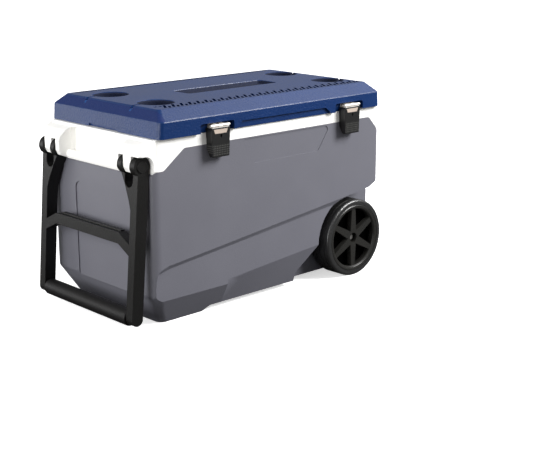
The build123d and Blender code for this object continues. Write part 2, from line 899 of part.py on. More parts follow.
def hinge_pieces(x):
    """Body leaf, lid leaf and pin of one lid hinge."""
    w = hinge_width / 2
    t = hinge_leaf_thickness
    y, z, r = hinge_axis_y, hinge_axis_z, hinge_knuckle_radius
    top = z - hinge_leaf_drop
    low = top - hinge_web_height
    body_leaf = box(x - w, x + w, half_y, half_y + t, top - hinge_body_leaf_height, top)
    web = shape((half_y, top), (half_y, low), (half_y + t, low), (y + r - 1, z - 3), (y, z), (y - r, z - 1))
    lid_y = lid_width / 2
    lid_low = lid_bottom + 4.5
    lid_leaf = box(x - w, x + w, lid_y, lid_y + t, lid_low, lid_low + hinge_leaf_height)
    lid_web = shape((lid_y, lid_low + 9), (lid_y + t, lid_low + 9), (y + r - 1, z + 3), (y, z), (lid_y, z + 1))
    spans = knuckle_spans(hinge_width, hinge_knuckle_count)
    clear = r + moving_gap
    for i, (low, high) in enumerate(spans):
        barrel = rod_x(r, y, z, x + low, x + high)
        if i % 2 == 0:
            body_leaf += along_x(web, x + low, x + high) + barrel
            lid_leaf -= rod_x(clear, y, z, x + low - 0.5, x + high + 0.5)
        else:
            lid_leaf += along_x(lid_web, x + low, x + high) + barrel
    hole = rod_x(hinge_pin_radius + running_gap, y, z, x - w - 1, x + w + 1)
    body_leaf = body_leaf - hole - screw_holes(hinge_body_screw_places(x), 1)
    lid_leaf = lid_leaf - hole - screw_holes(hinge_lid_screw_places(x), 1)
    return body_leaf, lid_leaf, rod_x(hinge_pin_radius, y, z, x - w, x + w)


def latch_pieces(x):
    """Latch arm, its steel front leaf, the steel lid leaf and the pin of one latch."""
    w = latch_width / 2
    y, z, r = latch_axis_y, latch_axis_z, latch_knuckle_radius
    front = -(lid_width / 2 + latch_front_reach)
    back = -(half_y + moving_gap)
    bottom = rim_height - latch_bottom_drop
    top = z - r - 1.2
    t = latch_plate
    face = shape((x - w + 3, bottom), (x + w - 3, bottom), (x + w, top), (x - w, top))
    arm = along_y(fillet(face.vertices(), 2.0), front, back)
    arm = fillet(arm.faces().sort_by(Axis.Y)[0].edges(), latch_edge_round)
    hollow = shape(
        (x - w + latch_flange + 2, bottom - 1),
        (x + w - latch_flange - 2, bottom - 1),
        (x + w - latch_flange, top + 1),
        (x - w + latch_flange, top + 1),
    )
    arm -= along_y(hollow, front + t, back + 1)
    hook_top = rim_height - keeper_drop - 1.0
    tip = -(half_y + keeper_reach + moving_gap)
    hook = shape(
        (front + t - 0.5, hook_top - 13),
        (tip, hook_top - 7),
        (tip, hook_top - 3),
        (front + t - 0.5, hook_top),
    )
    arm += along_x(hook, x - w + latch_flange + 1, x + w - latch_flange - 1)
    toe = shape((back + 1, bottom - 1), (back - 12, bottom - 1), (back + 1, bottom + 22))
    arm -= along_x(toe, x - w - 1, x + w + 1)

    window_top, window_low = z - latch_window_drop, z - latch_window_drop - latch_window_height
    a, b = latch_window_width / 2, latch_window_foot / 2
    window = shape((x - b, window_low), (x + b, window_low), (x + a, window_top), (x - a, window_top))
    arm -= along_y(window, front - 1, front + latch_leaf_setback)
    a, b, window_low = a + latch_leaf_lap, b + latch_leaf_lap, window_low - latch_leaf_lap
    leaf_face = shape((x - b, window_low), (x + b, window_low), (x + a, window_top), (x + a, z), (x - a, z), (x - a, window_top))
    leaf_front = front + latch_leaf_setback
    leaf = along_y(leaf_face, leaf_front, leaf_front + latch_leaf_thickness)
    arm -= leaf
    a, b = latch_hole_width / 2, latch_hole_height / 2
    hole_z = bottom + latch_hole_lift
    finger_hole = fillet(shape((x - a, hole_z + b), (x + a, hole_z + b), (x, hole_z - b)).vertices(), 1.5)
    arm -= along_y(finger_hole, front - 1, front + latch_hole_depth)
    back_y = -(lid_width / 2 - latch_pocket_depth)
    lt = latch_leaf_thickness
    bridge = shape((y, z + r), (y, z + r - lt), (back_y, z + r - lt), (back_y, z + r))
    flange = box(x - 22.5, x + 22.5, back_y - lt, back_y, lid_bottom + 3, z + r)
    lid_leaf = flange
    leaf_cut = None
    for i, (low, high) in enumerate(knuckle_spans(latch_width, latch_knuckle_count)):
        barrel = rod_x(r, y, z, x + low, x + high)
        if i % 2 == 1:
            lid_leaf += barrel + along_x(bridge, x + low, x + high)
            gap = rod_x(r + moving_gap, y, z, x + low - 0.5, x + high + 0.5)
            leaf_cut = gap if leaf_cut is None else leaf_cut + gap
        else:
            leaf += barrel
    leaf -= leaf_cut
    hole = rod_x(latch_pin_radius + running_gap, y, z, x - w - 1, x + w + 1)
    leaf -= hole
    lid_leaf = lid_leaf - hole - screw_holes(latch_screw_places(x), -1)
    pin = rod_x(latch_pin_radius, y, z, x - w, x + w)
    return arm, leaf, lid_leaf, pin


def tow_leg():
    """One leg of the tow handle on the -Y side, drawn hanging straight below the pivot."""
    outer = -tow_half_width
    inner = outer + tow_leg_width
    slot_low = outer + tow_outer_prong
    slot_high = slot_low + tow_lug_width + 2 * tow_side_gap
    prong = slot_high + tow_inner_prong
    end = -tow_length
    front_view = shape(
        (outer, end - 20),
        (inner, end - 20),
        (inner, -104),
        (inner + 9, -80),
        (slot_high, -44),
        (prong - 3, -22),
        (prong, -8),
        (prong, 30),
        (outer, 30),
    )
    leg = along_x(front_view, -40, 40)
    middle = (slot_low + slot_high) / 2
    radius = (slot_high - slot_low) / 2
    crotch = -52 + radius
    leg -= along_x(Pos(middle, crotch) * Circle(radius), -41, 41)
    leg -= box(-41, 41, slot_low, slot_high, crotch, 40)
    half = tow_leg_depth / 2
    bar = Pos(leg_middle, -tow_length / 2) * Rectangle(tow_leg_depth, tow_length)
    side_view = bar + Circle(tow_eye_radius) + Pos(leg_middle, end) * Circle(half)
    return leg & along_y(side_view, -half_y, 0)


def tow_frame():
    """Two legs, arched crossbar and the core of the grip, in one moulding."""
    leg = tow_leg()
    frame = leg + mirror(leg, Plane.XZ)
    inner = tow_half_width - tow_leg_width
    top, drop = -tow_bar_top, tow_bar_drop
    low = top - tow_bar_height
    knee = inner - tow_bar_knee
    arch = shape(
        (-inner - 1, top - drop),
        (-knee, top),
        (knee, top),
        (inner + 1, top - drop),
        (inner + 1, low - drop),
        (knee, low),
        (-knee, low),
        (-inner - 1, low - drop),
    )
    face = leg_middle - tow_leg_depth / 2
    frame += along_x(arch, face, face + tow_bar_depth)
    rib_end = knee - tow_rib_end
    rib = shape((-rib_end, top - 1), (rib_end, top - 1), (rib_end, top + tow_rib_height), (-rib_end, top + tow_rib_height))
    frame += along_x(rib, face + tow_bar_depth / 2, face + tow_bar_depth)
    frame += rod_y(tow_core_radius, leg_middle, -tow_length, -inner - 1, inner + 1)
    head = rod_y(tow_pin_head_radius + 0.1, 0, 0, -tow_half_width - 1, -tow_half_width + 1.0)
    bore = rod_y(tow_pin_radius, 0, 0, -tow_half_width - 1, -100)
    return frame - both_sides(head + bore)


def tow_grip():
    """Soft sleeve over the grip's core."""
    end = tow_half_width - tow_leg_width - grip_end_gap
    sleeve = rod_y(grip_radius, leg_middle, -tow_length, -end, end)
    rims = sleeve.edges().filter_by(GeomType.CIRCLE)
    sleeve = fillet(rims, 4.0)
    return sleeve - rod_y(tow_core_radius, leg_middle, -tow_length, -end - 1, end + 1)


def tow_pin(side):
    """Headed pivot pin of one leg with its retaining ring's groove end."""
    outer = tow_half_width - 1.0
    inner = tow_half_width - tow_outer_prong - tow_lug_width - 2 * tow_side_gap - tow_inner_prong
    head = rod_y(tow_pin_head_radius, 0, 0, -outer - tow_pin_head, -outer)
    head = chamfer(head.edges().sort_by(Axis.Y)[0], 1.0)
    pin = head + rod_y(tow_pin_radius, 0, 0, -outer, -inner + 2.0)
    return pin if side < 0 else mirror(pin, Plane.XZ)


def hung(piece):
    """Hang a tow-handle piece on its pivot at the resting lean."""
    return Pos(tow_pivot_x, 0, tow_pivot_height) * Rot(0, tow_tilt, 0) * piece


def drain_pieces():
    """Drain tube, gasket, nut and threaded cap at the wheel end."""
    seat = bumper_x - drain_recess_depth
    r, bore = drain_tube_radius, drain_bore_radius
    end = bumper_x - 0.2
    seal_end = end - drain_cap_top - drain_seal_gap
    tube_end = seal_end - drain_seal_thickness - drain_seal_gap
    tube = rod_x(r, 0, drain_z, step_x - 3.0, tube_end) + rod_x(r + 7, 0, drain_z, step_x - 3.0, step_x)
    tube -= box(step_x - 4, step_x + 1, -r - 8, r + 8, 0, tub_floor_height)
    tube -= rod_x(bore, 0, drain_z, step_x - 5, tube_end + 1)
    gasket_end = seat + drain_gasket_thickness
    gasket = rod_x(drain_nut_radius, 0, drain_z, seat, gasket_end) - rod_x(r, 0, drain_z, seat - 1, gasket_end + 1)
    nut_end = gasket_end + drain_nut_thickness
    flange = rod_x(drain_nut_radius, 0, drain_z, gasket_end, gasket_end + 1.5)
    hexagon = Pos(0, drain_z) * RegularPolygon(drain_nut_radius - 1.5, 6)
    nut = flange + along_x(hexagon, gasket_end, nut_end)
    nut -= rod_x(r, 0, drain_z, gasket_end - 1, nut_end + 1)
    seal = rod_x(r - 0.5, 0, drain_z, seal_end - drain_seal_thickness, seal_end)
    start = nut_end + moving_gap
    cap = rod_x(drain_cap_radius, 0, drain_z, start, end)
    cap = chamfer(cap.edges().sort_by(Axis.X)[-1], 1.0)
    cap -= rod_x(r + running_gap, 0, drain_z, start - 1, end - drain_cap_top)
    for turn in range(8):
        angle = radians(45 * turn)
        y, z = drain_cap_radius * cos(angle), drain_z + drain_cap_radius * sin(angle)
        cap -= rod_x(1.3, y, z, start - 1, end - 1.6)
    return tube, gasket, nut, seal, cap


pieces = {}
pieces.update(zip(("outer_shell", "body_foam", "collar", "liner"), shell_and_liner()))
pieces["lid_shell"], pieces["lid_foam"], pieces["lid_liner"] = lid_pieces()

for name, side in (("front", -1), ("rear", 1)):
    pieces[f"{name}_tyre"] = on_axle(tyre(), side)
    pieces[f"{name}_wheel_hub"] = on_axle(wheel_hub(), side)
    pieces[f"{name}_axle_cap"] = on_axle(push_nut(), side)
    pieces[f"{name}_wheel_spacer"] = on_axle(spacer(), side)
    pieces[f"{name}_tow_pin"] = hung(tow_pin(side))
pieces["axle"] = axle()
pieces["tow_frame"] = hung(tow_frame())
pieces["tow_grip"] = hung(tow_grip())

for name, x in zip(("left", "right"), hinge_x):
    body_leaf, lid_leaf, pin = hinge_pieces(x)
    pieces[f"{name}_hinge_body_leaf"] = body_leaf
    pieces[f"{name}_hinge_lid_leaf"] = lid_leaf
    pieces[f"{name}_hinge_pin"] = pin
for name, x in zip(("left", "right"), latch_x):
    arm, leaf, lid_leaf, pin = latch_pieces(x)
    pieces[f"{name}_latch_arm"] = arm
    pieces[f"{name}_latch_front_leaf"] = leaf
    pieces[f"{name}_latch_lid_leaf"] = lid_leaf
    pieces[f"{name}_latch_pin"] = pin

body_screw_places = hinge_body_screw_places(hinge_x[0]) + hinge_body_screw_places(hinge_x[1])
lid_screw_places = hinge_lid_screw_places(hinge_x[0]) + hinge_lid_screw_places(hinge_x[1])
latch_places = latch_screw_places(latch_x[0]) + latch_screw_places(latch_x[1])
pieces["hinge_body_screws"] = screw_group(body_screw_places, 1)
pieces["hinge_lid_screws"] = screw_group(lid_screw_places, 1)
pieces["latch_screws"] = screw_group(latch_places, -1)
drain_names = ("drain_tube", "drain_gasket", "drain_nut", "drain_seal", "drain_cap")
pieces.update(zip(drain_names, drain_pieces()))

for name, piece in pieces.items():
    export_step(Pos(-origin_x, 0, 0) * piece, f"parts/{name}.step")
    print(name, len(piece.solids()), round(piece.volume))
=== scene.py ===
import bmesh
import bpy
import json
import math
from mathutils import Matrix, Vector

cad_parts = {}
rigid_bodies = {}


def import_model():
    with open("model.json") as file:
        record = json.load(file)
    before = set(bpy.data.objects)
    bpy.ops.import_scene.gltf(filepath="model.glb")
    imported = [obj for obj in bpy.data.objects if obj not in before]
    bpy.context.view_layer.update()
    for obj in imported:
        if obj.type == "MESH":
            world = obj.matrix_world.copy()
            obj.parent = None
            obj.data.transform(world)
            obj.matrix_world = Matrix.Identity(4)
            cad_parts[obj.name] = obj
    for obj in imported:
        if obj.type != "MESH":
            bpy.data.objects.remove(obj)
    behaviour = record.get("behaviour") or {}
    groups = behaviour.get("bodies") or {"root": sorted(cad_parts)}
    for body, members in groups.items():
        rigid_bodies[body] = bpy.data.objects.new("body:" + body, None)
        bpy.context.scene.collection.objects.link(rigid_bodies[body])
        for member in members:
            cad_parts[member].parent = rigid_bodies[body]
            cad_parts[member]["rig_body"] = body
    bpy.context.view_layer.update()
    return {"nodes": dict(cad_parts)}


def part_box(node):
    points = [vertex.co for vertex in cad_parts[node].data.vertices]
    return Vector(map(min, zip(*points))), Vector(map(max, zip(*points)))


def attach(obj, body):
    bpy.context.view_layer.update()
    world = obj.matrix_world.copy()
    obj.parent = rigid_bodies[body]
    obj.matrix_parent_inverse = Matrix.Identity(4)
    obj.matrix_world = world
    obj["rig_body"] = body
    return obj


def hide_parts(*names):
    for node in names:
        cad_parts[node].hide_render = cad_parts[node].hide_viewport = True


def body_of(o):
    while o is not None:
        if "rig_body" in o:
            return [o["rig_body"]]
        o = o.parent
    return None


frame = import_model()
nodes = frame["nodes"]
mm = 0.001
print("stage: frame loaded")


class Wire:  # a socket that can be used in Python expressions
    def __init__(self, net, socket):
        self.net = net
        self.socket = socket

    def join(self, operation, other, swapped=False, clamp=False):
        node = self.net.tree.nodes.new("ShaderNodeMath")
        node.operation = operation
        node.use_clamp = clamp
        first, second = (other, self) if swapped else (self, other)
        self.net.plug(node.inputs[0], first)
        self.net.plug(node.inputs[1], second)
        return Wire(self.net, node.outputs[0])

    def __add__(self, other):
        return self.join("ADD", other)

    def __radd__(self, other):
        return self.join("ADD", other, True)

    def __sub__(self, other):
        return self.join("SUBTRACT", other)

    def __rsub__(self, other):
        return self.join("SUBTRACT", other, True)

    def __mul__(self, other):
        return self.join("MULTIPLY", other)

    def __rmul__(self, other):
        return self.join("MULTIPLY", other, True)

    def __truediv__(self, other):
        return self.join("DIVIDE", other)

    def __rtruediv__(self, other):
        return self.join("DIVIDE", other, True)

    def __gt__(self, other):
        return self.join("GREATER_THAN", other)

    def __lt__(self, other):
        return self.join("LESS_THAN", other)

    def size(self):
        return self.join("ABSOLUTE", 0.0)

    def cell(self, pitch):  # place inside a repeated cell, from -0.5 to 0.5
        return (self / pitch).join("FRACT", 0.0) - 0.5

    def clamped(self):
        return self.join("ADD", 0.0, clamp=True)


class Net:  # the node tree of a material, or of the world
    def __init__(self, holder, ending="OutputMaterial"):
        holder.use_nodes = True
        self.holder = holder
        self.tree = holder.node_tree
        self.tree.nodes.clear()
        self.output = self.tree.nodes.new("ShaderNode" + ending)

    def plug(self, socket, value):
        if isinstance(value, Wire):
            self.tree.links.new(value.socket, socket)
        else:
            socket.default_value = value

    def node(self, kind, output=0, settings=None, **inputs):
        made = self.tree.nodes.new("ShaderNode" + kind)
        for key, value in (settings or {}).items():
            setattr(made, key, value)
        for key, value in inputs.items():  # Base_Color is the socket Base Color, i6 the socket numbered 6
            label = int(key[1:]) if key[1:].isdigit() else key.replace("_", " ")
            self.plug(made.inputs[label], value)
        return Wire(self, made.outputs[output])

    def place(self, stretch=(1, 1, 1)):  # object coordinates, in metres
        where = self.node("TexCoord", "Object")
        return self.node("Mapping", Vector=where, Scale=stretch)

    def axes(self):  # the same coordinates as three numbers
        split = self.node("SeparateXYZ", Vector=self.place())
        return [Wire(self, axis) for axis in split.socket.node.outputs]

    def noise(self, scale, detail, where=None):
        return self.node("TexNoise", "Fac", Vector=where or self.place(), Scale=scale, Detail=detail)

    def blend(self, factor, first, second):
        settings = {"data_type": "RGBA"}
        return self.node("Mix", 2, settings=settings, i0=factor, i6=first, i7=second)

    def bump(self, height, distance, normal=None):
        extra = {"Normal": normal} if normal else {}
        return self.node("Bump", Height=height, Distance=distance, Strength=1.0, **extra)

    def end(self, shader):
        self.tree.links.new(shader.socket, self.output.inputs["Surface"])
        return self.holder

    def surface(self, **inputs):
        return self.end(self.node("BsdfPrincipled", **inputs))


def colour(red, green, blue):  # 0-255 as seen on a screen, to scene values
    def flat(v):
        v /= 255
        return v / 12.92 if v <= 0.04045 else ((v + 0.055) / 1.055) ** 2.4
    return (flat(red), flat(green), flat(blue), 1.0)


def addDots(net, tint, relief, dots):  # moulded rows of small dots between two levels, raised by a bump and coloured lighter: a painted highlight on each dot
    along, across, level = net.axes()
    row = level.cell(dots["pitch"])
    column = along.cell(dots["pitch"])
    bead = row * row + column * column < dots["radius"] ** 2
    bead = bead * ((level > dots["low"]) * (level < dots["high"]))
    return net.blend(bead, tint, colour(*dots["light"])), net.bump(bead, dots["rise"], relief)


def insideHollow(net, zone):  # between two levels and inside a rectangle; marks the hollows that get painted shade
    along, across, level = net.axes()
    onPlan = ((along - zone["middleX"]).size() < zone["halfX"]) * (across.size() < zone["halfY"])
    return onPlan * ((level > zone["low"]) * (level < zone["high"]))


def beyondEnds(net, zone):  # farther from the middle than a distance, and above a level; marks the sloping ends that get painted shade
    along, across, level = net.axes()
    return ((along - zone["middleX"]).size() > zone["beyond"]) * (level > zone["low"])


def mouldedPlastic(name, look):
    net = Net(bpy.data.materials.new(name))
    fine = net.noise(1 / look["grain"], 3.0)
    broad = net.noise(9.0, 2.0)
    cloud = (fine * 0.6 + broad * 0.5 - 0.15).clamped()
    tint = net.blend(cloud, colour(*look["dark"]), colour(*look["light"]))
    smooth = {"feature": "SMOOTH_F1"}
    cells = 0.55 / look["grain"]
    pebble = net.node("TexVoronoi", "Distance", settings=smooth, Vector=net.place(), Scale=cells)
    relief = net.bump(fine * 0.5 + pebble * 0.6, look["depth"])
    roughness = (fine - 0.5) * look["spread"] + broad * look.get("wear", 0.0) + look["rough"]
    if "dots" in look:
        tint, relief = addDots(net, tint, relief, look["dots"])
    for finder, zone in look.get("shadeZones", ()):  # painted shade: these places are coloured darker and made rougher, as the shade they catch
        inside = finder(net, zone)
        tint = net.blend(inside, tint, colour(*zone["shade"]))
        roughness = inside * zone["rougher"] + roughness
    gloss = look.get("gloss", 0.5)
    return net.surface(Base_Color=tint, Roughness=roughness, Normal=relief, Specular_IOR_Level=gloss)


lidLow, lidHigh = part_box("lid_shell")
lidTop = lidHigh[2]
# painted shade: the cups and the tray floor are coloured darker and made rougher, as the shade inside
# these hollows
hollowsPaintedShade = {
    "middleX": 35 * mm, "halfX": 360 * mm, "halfY": 150 * mm,
    "low": lidTop - 36 * mm, "high": lidTop - 1.5 * mm,
    "shade": (1, 13, 42), "rougher": 0.5,
}
# painted shade: the lid's sloping ends are coloured a darker blue, as the shade they catch
endsPaintedShade = {
    "middleX": (lidLow[0] + lidHigh[0]) / 2,
    "beyond": (lidHigh[0] - lidLow[0]) / 2 - 21.2 * mm,
    "low": lidTop - 24 * mm,
    "shade": (0, 30, 84), "rougher": 0.3,
}
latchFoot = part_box("left_latch_arm")[0][2]
latchDotsAndHighlights = {  # the radius is a share of the pitch
    "pitch": 5.2 * mm, "radius": 0.30, "rise": 0.6 * mm,
    "low": latchFoot + 3 * mm, "high": latchFoot + 31 * mm,
    # painted highlight: the dots' lighter colour
    "light": (72, 72, 70),
}
plastics = {  # colours, the grain's size and depth, roughness and how it varies
    "bodyGrey": {
        "light": (108, 108, 116), "dark": (97, 97, 105), "grain": 1.8 * mm, "depth": 0.22 * mm,
        "rough": 0.42, "spread": 0.18, "wear": 0.05,
    },
    "collarWhite": {
        "light": (253, 252, 249), "dark": (249, 248, 244), "grain": 1.6 * mm, "depth": 0.04 * mm,
        "rough": 0.34, "spread": 0.08, "wear": 0.04,
    },
    "linerWhite": {
        "light": (232, 232, 228), "dark": (222, 222, 217), "grain": 1.6 * mm, "depth": 0.04 * mm,
        "rough": 0.36, "spread": 0.08, "wear": 0.04,
    },
    "lidBlue": {
        "light": (6, 49, 104), "dark": (2, 32, 76), "grain": 2.8 * mm, "depth": 0.9 * mm,
        "rough": 0.32, "spread": 0.24, "wear": 0.05, "gloss": 0.36,
        "shadeZones": ((insideHollow, hollowsPaintedShade), (beyondEnds, endsPaintedShade)),
    },
    "handleBlack": {
        "light": (19, 18, 17), "dark": (9, 9, 8), "grain": 2.4 * mm, "depth": 0.4 * mm,
        "rough": 0.42, "spread": 0.16, "wear": 0.06, "gloss": 0.28,
    },
    "gripBlack": {
        "light": (17, 16, 16), "dark": (11, 10, 10), "grain": 1.4 * mm, "depth": 0.2 * mm,
        "rough": 0.50, "spread": 0.18, "wear": 0.05, "gloss": 0.25,
    },
    "wheelBlack": {
        "light": (46, 46, 46), "dark": (20, 20, 20), "grain": 3.0 * mm, "depth": 0.9 * mm,
        "rough": 0.30, "spread": 0.14, "wear": 0.06, "gloss": 0.8,
    },
    "spokeBlack": {
        "light": (42, 41, 38), "dark": (26, 26, 25), "grain": 1.6 * mm, "depth": 0.2 * mm,
        "rough": 0.26, "spread": 0.14, "wear": 0.06,
    },
    "latchBlack": {
        "light": (22, 22, 22), "dark": (14, 14, 14), "grain": 0.9 * mm, "depth": 0.1 * mm,
        "rough": 0.34, "spread": 0.14, "wear": 0.05, "dots": latchDotsAndHighlights,
    },
    "foamCream": {
        "light": (232, 222, 190), "dark": (214, 200, 160), "grain": 3.0 * mm, "depth": 0.4 * mm,
        "rough": 0.85, "spread": 0.10,
    },
    "sealBlack": {
        "light": (30, 30, 30), "dark": (22, 22, 22), "grain": 1.0 * mm, "depth": 0.08 * mm,
        "rough": 0.60, "spread": 0.10,
    },
    "drainWhite": {
        "light": (238, 238, 234), "dark": (228, 228, 222), "grain": 1.2 * mm, "depth": 0.04 * mm,
        "rough": 0.30, "spread": 0.08, "wear": 0.03,
    },
}


def brushedSteel(name, look):
    net = Net(bpy.data.materials.new(name))
    lines = net.noise(900.0, 4.0, net.place((1, 14, 14)))
    cloud = net.noise(60.0, 2.0)
    tint = net.blend(lines, colour(*look["dull"]), colour(*look["bright"]))
    relief = net.bump(lines, 0.03 * mm)
    if "band" in look:  # painted shade: a dark band across the leaf stands for the shadow line under its top strip, and the leaf below it is painted duller
        band = look["band"]
        along, across, level = net.axes()
        tint = net.blend(level < band["high"], tint, colour(*band["plate"]))
        tint = net.blend((level > band["low"]) * (level < band["high"]), tint, colour(*band["lip"]))
    roughness = lines * 0.16 + cloud * 0.08 + 0.2
    return net.surface(Base_Color=tint, Metallic=look["metal"], Roughness=roughness, Normal=relief)


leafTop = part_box("left_latch_front_leaf")[1][2]
# painted shade on the latch leaf: a dark shadow line, and a duller plate below it
leafShadeBand = {
    "low": leafTop - 12.0 * mm, "high": leafTop - 8.2 * mm,
    "lip": (20, 20, 20), "plate": (206, 190, 176),
}
steels = {
    "brushedSteel": {"dull": (214, 206, 196), "bright": (240, 236, 230), "metal": 0.4},
    "leafSteel": {"dull": (222, 214, 204), "bright": (246, 242, 236), "metal": 0.3, "band": leafShadeBand},
    "capSteel": {"dull": (120, 118, 114), "bright": (190, 188, 184), "metal": 0.8},
}

finishes = {name: mouldedPlastic(name, look) for name, look in plastics.items()}
finishes.update({name: brushedSteel(name, look) for name, look in steels.items()})
finishOfNode = {
    "outer_shell": "bodyGrey",
    "collar": "collarWhite",
    "liner": "linerWhite",
    "lid_liner": "linerWhite",
    "lid_shell": "lidBlue",
    "tow_frame": "handleBlack",
    "tow_grip": "gripBlack",
    "drain_gasket": "sealBlack",
    "drain_seal": "sealBlack",
    "drain_tube": "drainWhite",
    "drain_nut": "drainWhite",
    "drain_cap": "drainWhite",
}
finishOfEnding = {  # for the nodes that come in pairs
    "_foam": "foamCream",
    "_tyre": "wheelBlack",
    "_hub": "spokeBlack",
    "_spacer": "collarWhite",
    "_axle_cap": "capSteel",
    "_tow_pin": "handleBlack",
    "latch_arm": "latchBlack",
    "latch_front_leaf": "leafSteel",
    "": "brushedSteel",  # all other nodes are steel
}
for name, piece in nodes.items():
    byEnding = next(finish for ending, finish in finishOfEnding.items() if name.endswith(ending))
    piece.data.materials.clear()
    piece.data.materials.append(finishes[finishOfNode.get(name, byEnding)])
print("stage: finishes given")


def link(piece):
    bpy.context.scene.collection.objects.link(piece)
    return piece


def meshFrom(work, name, materials):  # ends a bmesh as an object
    mesh = bpy.data.meshes.new(name)
    work.to_mesh(mesh)
    work.free()
    for finish in materials:
        mesh.materials.append(finish)
    return link(bpy.data.objects.new(name, mesh))


def settled(piece):  # modifiers made real
    graph = bpy.context.evaluated_depsgraph_get()
    mesh = bpy.data.meshes.new_from_object(piece.evaluated_get(graph), depsgraph=graph)
    piece.modifiers.clear()
    piece.data = mesh
    return piece


def smoothed(piece, angle):  # rounded where the faces turn, flat on the large faces
    mesh = piece.data
    mesh.polygons.foreach_set("use_smooth", [True] * len(mesh.polygons))
    mesh.set_sharp_from_angle(angle=math.radians(angle))
    weigh = piece.modifiers.new("weigh", "WEIGHTED_NORMAL")
    weigh.keep_sharp = True
    weigh.weight = 100
    return settled(piece)


mergeDistance = 0.002 * mm
flatAngle = math.radians(0.5)


def cleanCopy(node):  # a CAD node's mesh, merged and with its flat faces whole again
    mesh = nodes[node].data.copy()
    for layer in ("custom_normal", "sharp_edge", "sharp_face"):
        if layer in mesh.attributes:
            mesh.attributes.remove(mesh.attributes[layer])
    work = bmesh.new()
    work.from_mesh(mesh)
    bmesh.ops.remove_doubles(work, verts=work.verts, dist=mergeDistance)
    bmesh.ops.dissolve_limit(work, angle_limit=flatAngle, verts=work.verts, edges=work.edges)
    work.to_mesh(mesh)
    work.free()
    return link(bpy.data.objects.new(node + "_finished", mesh))


def rideWith(piece, node):
    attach(piece, body_of(nodes[node])[0])


def standsFor(piece, node):
    rideWith(piece, node)
    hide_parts(node)


def bevel(piece, width, angle):
    edge = piece.modifiers.new("edge", "BEVEL")
    edge.width = width
    edge.segments = 2
    edge.limit_method = "ANGLE"
    edge.angle_limit = math.radians(angle)
    return settled(piece)


bevelFrom = 30.0  # degrees
softEdges = {  # node ending: bevel width, and the angle past which an edge stays sharp
    "tow_frame": (1.6 * mm, 35.0),
    "wheel_hub": (1.0 * mm, 35.0),
    "latch_arm": (0.6 * mm, 35.0),
    "outer_shell": (1.0 * mm, 25.0),
    "collar": (1.0 * mm, 30.0),
}
for name in list(nodes):
    for ending, (width, sharpFrom) in softEdges.items():
        if name.endswith(ending):
            standsFor(smoothed(bevel(cleanCopy(name), width, bevelFrom), sharpFrom), name)
print("stage: edges softened")


class Tree:  # a Geometry Nodes tree whose inputs are plain numbers
    def __init__(self, name, inputs):
        self.tree = bpy.data.node_groups.new(name, "GeometryNodeTree")
        sockets = self.tree.interface
        self.inputs = {}
        for label in inputs:
            kind = "NodeSocketInt" if label == "count" else "NodeSocketFloat"
            self.inputs[label] = sockets.new_socket(label, in_out="INPUT", socket_type=kind).identifier
        sockets.new_socket("Geometry", in_out="OUTPUT", socket_type="NodeSocketGeometry")
        self.given = self.tree.nodes.new("NodeGroupInput")
        self.result = self.tree.nodes.new("NodeGroupOutput")

    def node(self, kind, **inputs):
        made = self.tree.nodes.new(kind)
        for label, value in inputs.items():
            socket = made.inputs[label.replace("_", " ")]
            if isinstance(value, bpy.types.NodeSocket):
                self.tree.links.new(value, socket)
            elif isinstance(value, str):
                self.tree.links.new(self.given.outputs[value], socket)
            else:
                socket.default_value = value
        return made.outputs[0]

    def finish(self, shape, finish):
        real = self.node("GeometryNodeRealizeInstances", Geometry=shape)
        done = self.node("GeometryNodeSetMaterial", Geometry=real, Material=finish)
        self.tree.links.new(done, self.result.inputs[0])

    def grow(self, name, values):
        holder = link(bpy.data.objects.new(name, bpy.data.meshes.new(name)))
        grower = holder.modifiers.new("nodes", "NODES")
        grower.node_group = self.tree
        for label, value in values.items():
            grower[self.inputs[label]] = value
        return settled(holder)


ruler = {  # rows of sunk marks along the lid's front and rear edges, coloured a much darker blue than the lid: painted shade inside the marks
    "finish": {
        "light": (3, 14, 44), "dark": (1, 8, 30), "grain": 1.1 * mm, "depth": 0.06 * mm,
        "rough": 0.7, "spread": 0.10, "gloss": 0.0,
    },
    "depth": 1.6 * mm,
    "rows": {
        "inchTicks": {
            "count": 27, "pitch": 25.4 * mm, "startX": -287 * mm, "startY": -160 * mm,
            "width": 6.4 * mm, "length": 41 * mm, "lean": -0.56,
        },
        "halfTicks": {
            "count": 26, "pitch": 25.4 * mm, "startX": -281 * mm, "startY": -171 * mm,
            "width": 6.0 * mm, "length": 24 * mm, "lean": -0.56,
        },
        "firstDashes": {
            "count": 2, "pitch": 13 * mm, "startX": -306 * mm, "startY": -150 * mm,
            "width": 9.0 * mm, "length": 7 * mm, "lean": 0.0,
        },
        "rearTicks": {
            "count": 52, "pitch": 12.7 * mm, "startX": -300 * mm, "startY": 178 * mm,
            "width": 6.6 * mm, "length": 17 * mm, "lean": 0.0,
        },
    },
}


def makeTickTree():  # one bar on each point of a line
    sizes = ["count", "pitch", "startX", "startY", "startZ", "width", "length", "depth", "lean"]
    tree = Tree("rulerTicks", sizes)
    start = tree.node("ShaderNodeCombineXYZ", X="startX", Y="startY", Z="startZ")
    step = tree.node("ShaderNodeCombineXYZ", X="pitch")
    size = tree.node("ShaderNodeCombineXYZ", X="width", Y="length", Z="depth")
    turn = tree.node("ShaderNodeCombineXYZ", Z="lean")
    line = tree.node("GeometryNodeMeshLine", Count="count", Start_Location=start, Offset=step)
    bar = tree.node("GeometryNodeMeshCube", Size=size)
    bars = tree.node("GeometryNodeInstanceOnPoints", Points=line, Instance=bar, Rotation=turn)
    tree.finish(bars, mouldedPlastic("rulerPaintedShade", ruler["finish"]))
    return tree


def rulerCutter():
    tree = makeTickTree()
    rows = []
    for rowName, row in ruler["rows"].items():
        rows.append(tree.grow(rowName, {**row, "startZ": lidTop, "depth": ruler["depth"]}))
    work = bmesh.new()
    for row in rows:
        work.from_mesh(row.data)
    cutter = meshFrom(work, "rulerCutter", rows[0].data.materials)
    for row in rows:
        bpy.data.objects.remove(row)
    return cutter


